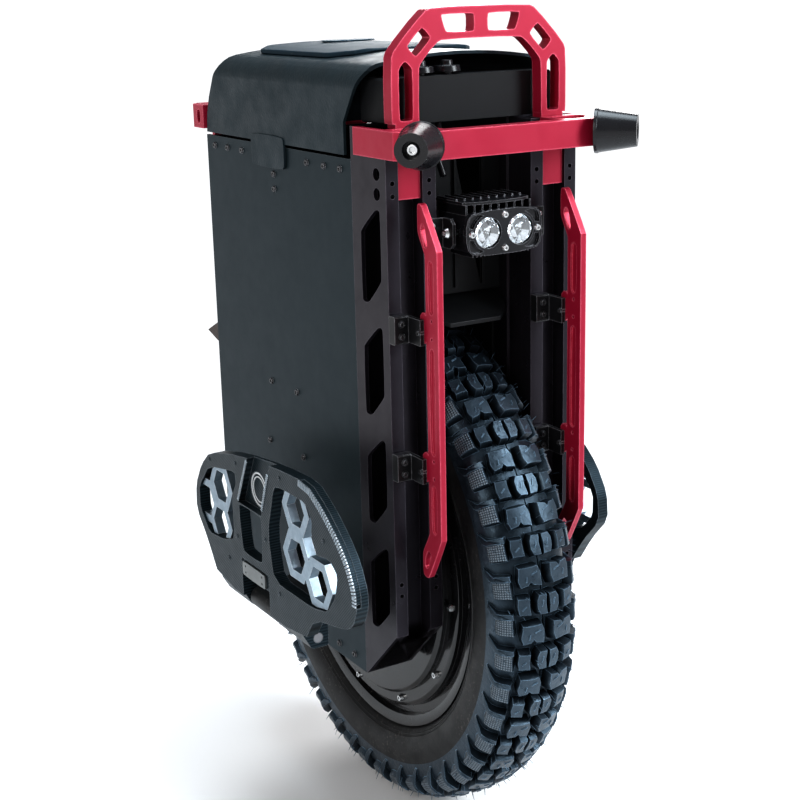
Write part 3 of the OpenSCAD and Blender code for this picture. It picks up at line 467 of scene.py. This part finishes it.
def block(p, outline, arc0, mat=0, taper=None, lift=1.0, narrow=1.0):
    """One tread block with drafted sides and a bevelled top; taper is (from s, to s) where it runs out."""
    height = KNOB_DEPTH * lift
    pts = resample(outline)
    cx = sum(q[0] for q in pts) / len(pts)
    cy = sum(q[1] for q in pts) / len(pts)

    def ring(inset, h):
        out = []
        for q in pts:
            dx, dy = q[0] - cx, q[1] - cy
            d = math.hypot(dx, dy)
            k = (d - inset) / d
            s = cx + dx * k
            top = height
            if taper:
                top *= 1 - BLOCK_RUNOUT * min(1, max(0, (abs(s) - taper[0]) / (taper[1] - taper[0])))
            out.append((s, cy + dy * k, h * top if h >= 0 else -BLOCK_FOOT))
        return out

    levels = [ring(inset * narrow, h) for inset, h in BLOCK_LEVELS]
    loops = [[on_tread(q[0], arc0 + q[1], q[2]) for q in loop] for loop in levels]
    uvs = [(q[0], q[1]) for loop in levels for q in loop]
    if outline_flipped(pts):
        loops = [list(reversed(loop)) for loop in loops]
        uvs = [(q[0], q[1]) for loop in levels for q in reversed(loop)]
    count = len(pts)
    rings(p, loops[:4], uvs=uvs[:count * 4])
    centre_h = sum(q[2] for q in levels[-1]) / count
    verts = loops[3] + loops[4] + [on_tread(cx, arc0 + cy, centre_h)]
    faces = [(k, (k + 1) % count, count + (k + 1) % count, count + k) for k in range(count)]
    faces += [(count + k, count + (k + 1) % count, 2 * count) for k in range(count)]
    p.add(verts, faces, mat, uvs[count * 3:] + [(cx, cy)])


def sipe(p, s, arc, length, turn):
    """A small raised mark on a block's top."""
    du, dv = math.sin(turn), math.cos(turn)
    loops = []
    for h, half in ((-0.5, 0.7), (0.7, 0.35)):
        loops.append([on_tread(s + du * length * a + dv * half * b, arc + dv * length * a - du * half * b,
                               KNOB_DEPTH + h) for a, b in ((-0.5, -1), (0.5, -1), (0.5, 1), (-0.5, 1))])
    rings(p, loops, cap_end=True)


def outline_flipped(pts):
    """True where the outline runs the way that would turn the block's faces inwards."""
    area = sum(a[0] * b[1] - b[0] * a[1] for a, b in zip(pts, pts[1:] + pts[:1]))
    return area > 0


def mirrored(points, side):
    """The outline on the tyre's side +1 or -1."""
    return list(points) if side > 0 else [(-x, y) for x, y in reversed(points)]


CENTRE_HALF = [(0.9, -10.5), (9.5, -10), (12.8, -4), (12.8, 5), (9.5, 10.5), (0.9, 10)]
INNER_BLOCK = [(17.5, -9), (30, -8.5), (32, 0), (30.5, 9.5), (18, 9)]
WIDE_BLOCK = [(4.5, -10), (13, -9), (16, -6), (19, -9), (27, -10), (29.5, -3), (27.5, 10), (7, 10.5),
              (3.8, 3)]
SHOULDER = [(34, -10), (53, -10.5), (55.5, -3), (54, 7.5), (34.5, 8.5)]
SHOULDER_LIP = [(33.5, 7), (54, 6), (60, 9), (67, 17), (66, 21), (60, 17.5), (52, 13), (34, 12.5)]


# marks on the blocks, as (distance from the crown, share of a pair, mm round, length, turn)
SIPES = [(6.2, 0.5, 1, 6, 0.3), (24.5, 0.5, -1, 5, 0.9), (12, 0, 3, 6, 1.2), (20, 0, -2, 5, 0.2)]


def make_tyre():
    """Knobby tyre: pairs of mirrored blocks, shoulder blocks with lips, the carcass and the hairs."""
    p = Pieces()
    pair = 360 / PAIRS * DEGREE
    for i in range(PAIRS):
        for side in (-1, 1):
            block(p, mirrored(CENTRE_HALF, side), (i + 0.5) * pair)
            block(p, mirrored(INNER_BLOCK, side), (i + 0.5) * pair)
            wide = WIDE_BLOCK if side < 0 else [(x, -y) for x, y in reversed(WIDE_BLOCK)]
            block(p, mirrored(wide, side), i * pair)
            for s, share, shift, length, turn in SIPES:
                sipe(p, side * s, (i + share) * pair + shift, length, turn)
    for i in range(SHOULDERS):
        arc = (SHOULDER_PHASE + i * 360 / SHOULDERS) * DEGREE
        for side in (-1, 1):
            block(p, mirrored(SHOULDER, side), arc, mat=1, taper=(50, 60))
            block(p, mirrored(SHOULDER_LIP, side), arc, taper=(48, 68), lift=1.08, narrow=0.7)
    carcass(p)
    hairs(p)
    p.build("tyre_knobby", [MATERIALS["tyre_rubber"], TYRE_GRID, TYRE_SIDE], "wheel", "tyre",
            32)


def carcass(p):
    """The tyre's body turned round the axle: grooved crown, shoulders, sidewall ridges and beads."""
    outer = [(float(x), float(r)) for x, r in zip(BASE[0][::3], BASE[1][::3])]
    outer[0:1] = [(0, CROWN_R - 1.2), (0.7, CROWN_R)]
    half = outer[1:] + SIDE_PROFILE
    loop = [outer[0]] + half + [(-x, r) for x, r in reversed(half[:-1])]
    loops = [[(x, -r * math.cos(a), r * math.sin(a)) for x, r in loop]
             for a in circle(CARCASS_STEPS) + [2 * math.pi]]
    start = len(p.faces)
    rings(p, loops)
    low = [(a[1] + b[1]) / 2 < SIDE_R for a, b in zip(loop, loop[1:] + loop[:1])]
    for i in range(start, len(p.faces)):
        p.mats[i] = 2 if low[(i - start) % len(loop)] else 0


def hairs(p):
    """Moulding hairs: thin rubber whiskers on some of the blocks."""
    for _ in range(HAIRS):
        s = rng.uniform(-HAIR_REACH, HAIR_REACH)
        arc = rng.uniform(0, 2 * math.pi * TREAD_R)
        height = rng.uniform(3, 7.5)
        lean = (rng.uniform(-2.5, 2.5), rng.uniform(-2.5, 2.5))
        foot, tip = [], []
        root = on_tread(s, arc, KNOB_DEPTH - 0.5)
        end = on_tread(s + lean[0], arc + lean[1], KNOB_DEPTH)
        n = Vector((0, root[1], root[2])).normalized()
        n = (n + Vector((s / 90, 0, 0))).normalized()
        u = n.orthogonal().normalized()
        v = n.cross(u)
        for a in circle(4):
            d = u * math.cos(a) + v * math.sin(a)
            foot.append(tuple(Vector(root) + d * HAIR_FOOT_R - n * BLOCK_FOOT))
            tip.append(tuple(Vector(end) + d * HAIR_TIP_R + n * height))
        rings(p, [foot, tip], cap_end=True, cap_start=True)


# ---------- pedal grips ----------

PEDAL_FACE = -165.0
PEDAL_BACK = -157.0
PEDAL_OUTLINE = [(88, -27), (112, 8), (136, 34), (134, 62), (117, 88), (94, 107), (30, 121), (-50, 130),
                 (-118, 133), (-148, 117), (-175, 96), (-192, 78), (-203, 55), (-203, 40), (-195, 22),
                 (-181, 14), (-122, 2), (-101, -27)]
CHANNEL_EDGES = [((7.5, 120), (31.5, 73)), ((-38, 118), (-22, 78))]
FACE_SCREWS = [(96, 99), (34, 111), (38, 34), (60, 4), (-52, 3), (-145, 86), (-62, 122), (-26, 50)]
SCREW_PROFILE = [(PEDAL_FACE + 1, 2.1), (PEDAL_FACE - 0.5, 2.1), (PEDAL_FACE - 0.7, 1.8),
                 (PEDAL_FACE - 0.7, 1.1), (PEDAL_FACE + 0.6, 1.0)]
BADGE_CENTRE = (-1, 92)
BADGE_RINGS = [(15.5, 17.2), (12.0, 13.2)]
CORNER_SHARE = 0.2


def rounded(points):
    """Cuts an outline's corners once, as the CAD source does."""
    out = []
    for a, b in zip(points, points[1:] + points[:1]):
        dy, dz = CORNER_SHARE * (b[0] - a[0]), CORNER_SHARE * (b[1] - a[1])
        out += [(a[0] + dy, a[1] + dz), (b[0] - dy, b[1] - dz)]
    return out


def along(points, step):
    """Places every step mm along an open line, each with the line's inward normal."""
    out, carry = [], 0.0
    for a, b in zip(points, points[1:]):
        d = math.hypot(b[0] - a[0], b[1] - a[1])
        n = ((a[1] - b[1]) / d, (b[0] - a[0]) / d)
        t = carry
        while t < d:
            out.append((a[0] + (b[0] - a[0]) * t / d, a[1] + (b[1] - a[1]) * t / d, *n))
            t += step
        carry = t - d
    return out


def bar(p, sign, places, x_in, x_out, near, far, bevel, mat=0):
    """Raised bar along places (y, z, inward normal), from near to far inside the line.

    The sign is 1 on the right pedal and -1 on the left, which is the right one turned half a turn.
    """
    count = len(places)
    order = [2 * i for i in range(count)] + [2 * i + 1 for i in reversed(range(count))]
    loops = []
    levels = [(x_in, near, far), (x_out + bevel, near, far), (x_out, near + bevel, far - bevel)]
    for x, start, end in levels:
        points = [(sign * x, sign * (y + ny * d), z + nz * d)
                  for y, z, ny, nz in places for d in (start, end)]
        loops.append([points[i] for i in order])
    rings(p, loops, mat)
    first = len(p.verts) - 2 * count
    for i in range(count - 1):
        j = 2 * count - 1 - i
        p.faces.append((first + i, first + i + 1, first + j - 1, first + j))
        p.mats.append(mat)


def tooth(place, half):
    """The two ends of a tooth that crosses the line, half its width each way."""
    y, z, ny, nz = place
    return [(y - nz * half, z + ny * half, ny, nz), (y + nz * half, z - ny * half, ny, nz)]


def turned(sign, centre, profile, count):
    """Loops of a round detail on a pedal's side; profile is (x, radius)."""
    return [[(sign * x, sign * (centre[0] + r * math.cos(a)), centre[1] + r * math.sin(a))
             for a in circle(count)] for x, r in profile]


def make_grip(side, sign):
    """A pedal's band with its teeth, serrated channel edges, small screws and two pale rings."""
    p = Pieces()
    line = [q for q in rounded(PEDAL_OUTLINE) if q[0] < -104 and q[1] > 40]
    bar(p, sign, along(line, 3.0), PEDAL_FACE + 4, PEDAL_FACE - 0.2, 0.4, 6.6, 0.3, mat=1)
    for place in along(line, 3.1):
        bar(p, sign, tooth(place, 0.8), PEDAL_FACE, PEDAL_FACE - 1.3, 0.5, 6.5, 0.25)
    for edge in CHANNEL_EDGES:
        for place in along(edge, 2.2):
            bar(p, sign, tooth(place, 0.5), PEDAL_FACE + 0.3, PEDAL_FACE - 0.7, -1.7, 1.7, 0.15)
    for centre in FACE_SCREWS:
        rings(p, turned(sign, centre, SCREW_PROFILE, 16), mat=1, cap_end=True)
    for r_in, r_out in BADGE_RINGS:
        profile = [(PEDAL_BACK + 1.5, r_out), (PEDAL_BACK + 0.3, r_out), (PEDAL_BACK + 0.3, r_in),
                   (PEDAL_BACK + 1.5, r_in)]
        rings(p, turned(sign, BADGE_CENTRE, profile, 64), mat=2)
    p.build("pedal_teeth_" + side, [MATERIALS["insert_aluminium"], MATERIALS["pedal_black"], RING_WHITE],
            side + "_pedal", "pedal_grip_" + side, 25)


# ---------- CAD nodes that show as they are ----------

WELD_DISTANCE = 2e-6
FLAT_ANGLE = math.radians(0.6)
BEVEL_ANGLE = math.radians(32)


def soften(o, width_mm):
    """Joins the exact mesh's faces and puts a small real bevel on its edges, by modifiers only."""
    weld = o.modifiers.new("weld", "WELD")
    weld.merge_threshold = WELD_DISTANCE
    flat = o.modifiers.new("flat", "DECIMATE")
    flat.decimate_type = "DISSOLVE"
    flat.angle_limit = FLAT_ANGLE
    bevel = o.modifiers.new("bevel", "BEVEL")
    bevel.width = width_mm * MM
    bevel.segments = 2
    bevel.limit_method = "ANGLE"
    bevel.angle_limit = BEVEL_ANGLE
    bevel.use_clamp_overlap = True
    bevel.miter_outer = "MITER_ARC"
    normals = o.modifiers.new("normals", "WEIGHTED_NORMAL")
    normals.keep_sharp = False
    normals.weight = 60


# millimetres; a node that isn't here keeps its sharp edges
BEVELS = {
    "arch_handle": 2.0, "front_bar": 2.0, "rear_bar": 1.8, "guard_left": 1.4, "guard_right": 1.4,
    "front_post_left": 0.5, "front_post_right": 0.5, "side_panel_left": 0.4, "side_panel_right": 0.4,
    "control_box": 1.0, "top_shell": 1.0, "top_deck": 2.2, "deck_pad": 0.8, "bumper_left": 1.0,
    "bumper_right": 1.0, "guard_brackets": 0.5, "headlight_body": 0.5, "headlight_bezel": 0.7,
    "headlight_brackets": 0.6, "pedal_left": 1.4, "pedal_right": 1.4, "pedal_inserts_left": 1.3,
    "pedal_inserts_right": 1.3, "pedal_plate_left": 0.3, "pedal_plate_right": 0.3,
    "pedal_grip_left": 0.3, "pedal_grip_right": 0.3, "hanger_left": 1.0, "hanger_right": 1.0,
    "rim": 0.5, "motor_cover_left": 0.8, "motor_cover_right": 0.8, "motor_cover_bolts": 0.3,
    "panel_screws": 0.2, "guard_screws": 0.25, "bumper_screws": 0.3, "headlight_bolts": 0.25,
    "headlight_pivots": 0.3, "power_button": 0.6, "light_button": 0.6, "mudflap": 0.8, "fender": 0.5,
    "front_cover": 0.4, "rear_cover": 0.4, "rear_posts": 0.4, "headlight_lenses": 0.6,
    "inner_plates": 0.3, "pedal_pins": 0.4, "valve_stem": 0.3,
}

for name, o in NODES.items():
    o.data.materials.clear()
    o.data.materials.append(MATERIALS[SLOT_OF[name]])
    if name in BEVELS:
        o.data.shade_smooth()
        soften(o, BEVELS[name])

make_tyre()
make_grip("right", 1)
make_grip("left", -1)


# ---------- stage, light and camera ----------

SKY_LIGHT = 0.28
SKY_SEEN = 0.95
SKY_COLOR = (0.97, 0.98, 1.0, 1)
FLOOR_HALF = 60.0
FLOOR_GAP = 0.0015
LIGHT_TARGET = (0, 0, 0.15)
# name: place, size, power, color
LIGHTS = {
    "key": ((1.3, -1.9, 1.5), (0.9, 1.6), 70, (0.88, 0.95, 1.0)),
    "fill": ((-2.4, -1.2, 1.5), (0.8, 1.8), 38, (1.0, 0.98, 0.95)),
    "top": ((0.2, 0.2, 2.4), (1.4, 1.4), 50, (0.8, 0.92, 1.0)),
    "back": ((1.6, 2.0, 1.2), (1.0, 1.4), 40, (1, 1, 1)),
}


def floor_material():
    """Pale paint near the object, which fades into the backdrop's own brightness further off."""
    n = Net("floor_paint")
    n.put("Base Color", n.mix(n.noise(800, 3), rgb((0.86, 0.86, 0.87)), rgb((0.88, 0.88, 0.89))))
    n.put("Roughness", n.ramp(n.noise(40, 4), 0.3, 0.7, 0.5, 0.62))
    n.put("Normal", n.bump(n.noise(3, 3), 0.02))
    length = n.tree.nodes.new("ShaderNodeVectorMath")
    length.operation = "LENGTH"
    n.tree.links.new(n.coord.outputs["Object"], length.inputs[0])
    far = n.ramp(length.outputs["Value"], 0.5, 1.7)
    glow = n.add("Emission", Strength=SKY_SEEN)
    glow.inputs["Color"].default_value = SKY_COLOR
    blend = n.tree.nodes.new("ShaderNodeMixShader")
    out = n.tree.nodes["Material Output"]
    for source, socket in ((far, blend.inputs[0]), (n.bsdf.outputs[0], blend.inputs[1]),
                           (glow.outputs[0], blend.inputs[2]), (blend.outputs[0], out.inputs["Surface"])):
        n.tree.links.new(source, socket)
    return n.mat


def make_stage():
    """The floor, a little under the tyre's blocks."""
    mesh = bpy.data.meshes.new("floor")
    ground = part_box("tyre")[0].z - FLOOR_GAP
    corners = [(-1, -1), (1, -1), (1, 1), (-1, 1)]
    mesh.from_pydata([(x * FLOOR_HALF, y * FLOOR_HALF, ground) for x, y in corners], [], [(0, 1, 2, 3)])
    floor = bpy.data.objects.new("floor", mesh)
    bpy.context.scene.collection.objects.link(floor)
    floor.data.materials.append(floor_material())


def area_light(name, place, size, power, color):
    """A rectangular lamp that faces the object."""
    data = bpy.data.lights.new(name, "AREA")
    data.shape = "RECTANGLE"
    data.size, data.size_y = size
    data.energy = power
    data.color = color
    lamp = bpy.data.objects.new(name, data)
    bpy.context.scene.collection.objects.link(lamp)
    lamp.location = place
    lamp.rotation_mode = "QUATERNION"
    lamp.rotation_quaternion = (Vector(LIGHT_TARGET) - Vector(place)).to_track_quat("-Z", "Y")


def make_light():
    """The lamps, and a sky that is dimmer as a light than as the camera sees it."""
    world = bpy.data.worlds.new("studio")
    bpy.context.scene.world = world
    world.use_nodes = True
    tree = world.node_tree
    sky = tree.nodes["Background"]
    sky.inputs["Color"].default_value = SKY_COLOR
    path = tree.nodes.new("ShaderNodeLightPath")
    level = tree.nodes.new("ShaderNodeMapRange")
    level.inputs["To Min"].default_value = SKY_LIGHT
    level.inputs["To Max"].default_value = SKY_SEEN
    tree.links.new(path.outputs["Is Camera Ray"], level.inputs["Value"])
    tree.links.new(level.outputs["Result"], sky.inputs["Strength"])
    for name, (place, size, power, color) in LIGHTS.items():
        area_light(name, place, size, power, color)


# place in metres, angles in degrees, lens in millimetres
CAMERA_PLACE = (-0.7485, -1.2568, 0.5652)
CAMERA_AZ = -30.95
CAMERA_EL = 15.63
CAMERA_ROLL = -1.35
CAMERA_LENS = 67.8


def make_camera():
    """A camera at CAMERA_PLACE that looks along its azimuth and elevation, then rolls."""
    az, el, roll = (math.radians(a) for a in (CAMERA_AZ, CAMERA_EL, CAMERA_ROLL))
    back = Vector((math.sin(az) * math.cos(el), -math.cos(az) * math.cos(el), math.sin(el)))
    right = Vector((math.cos(az), math.sin(az), 0))
    up = back.cross(right)
    across = math.cos(roll) * right + math.sin(roll) * up
    upward = -math.sin(roll) * right + math.cos(roll) * up
    data = bpy.data.cameras.new("camera")
    data.lens = CAMERA_LENS
    data.sensor_width = 36
    data.clip_end = 50
    camera = bpy.data.objects.new("camera", data)
    bpy.context.scene.collection.objects.link(camera)
    rotation = Matrix((across, upward, back)).transposed()
    camera.matrix_world = Matrix.Translation(CAMERA_PLACE) @ rotation.to_4x4()
    bpy.context.scene.camera = camera


make_stage()
make_light()
make_camera()
bpy.context.scene.view_settings.view_transform = "Standard"
bpy.context.scene.view_settings.look = "Medium High Contrast"
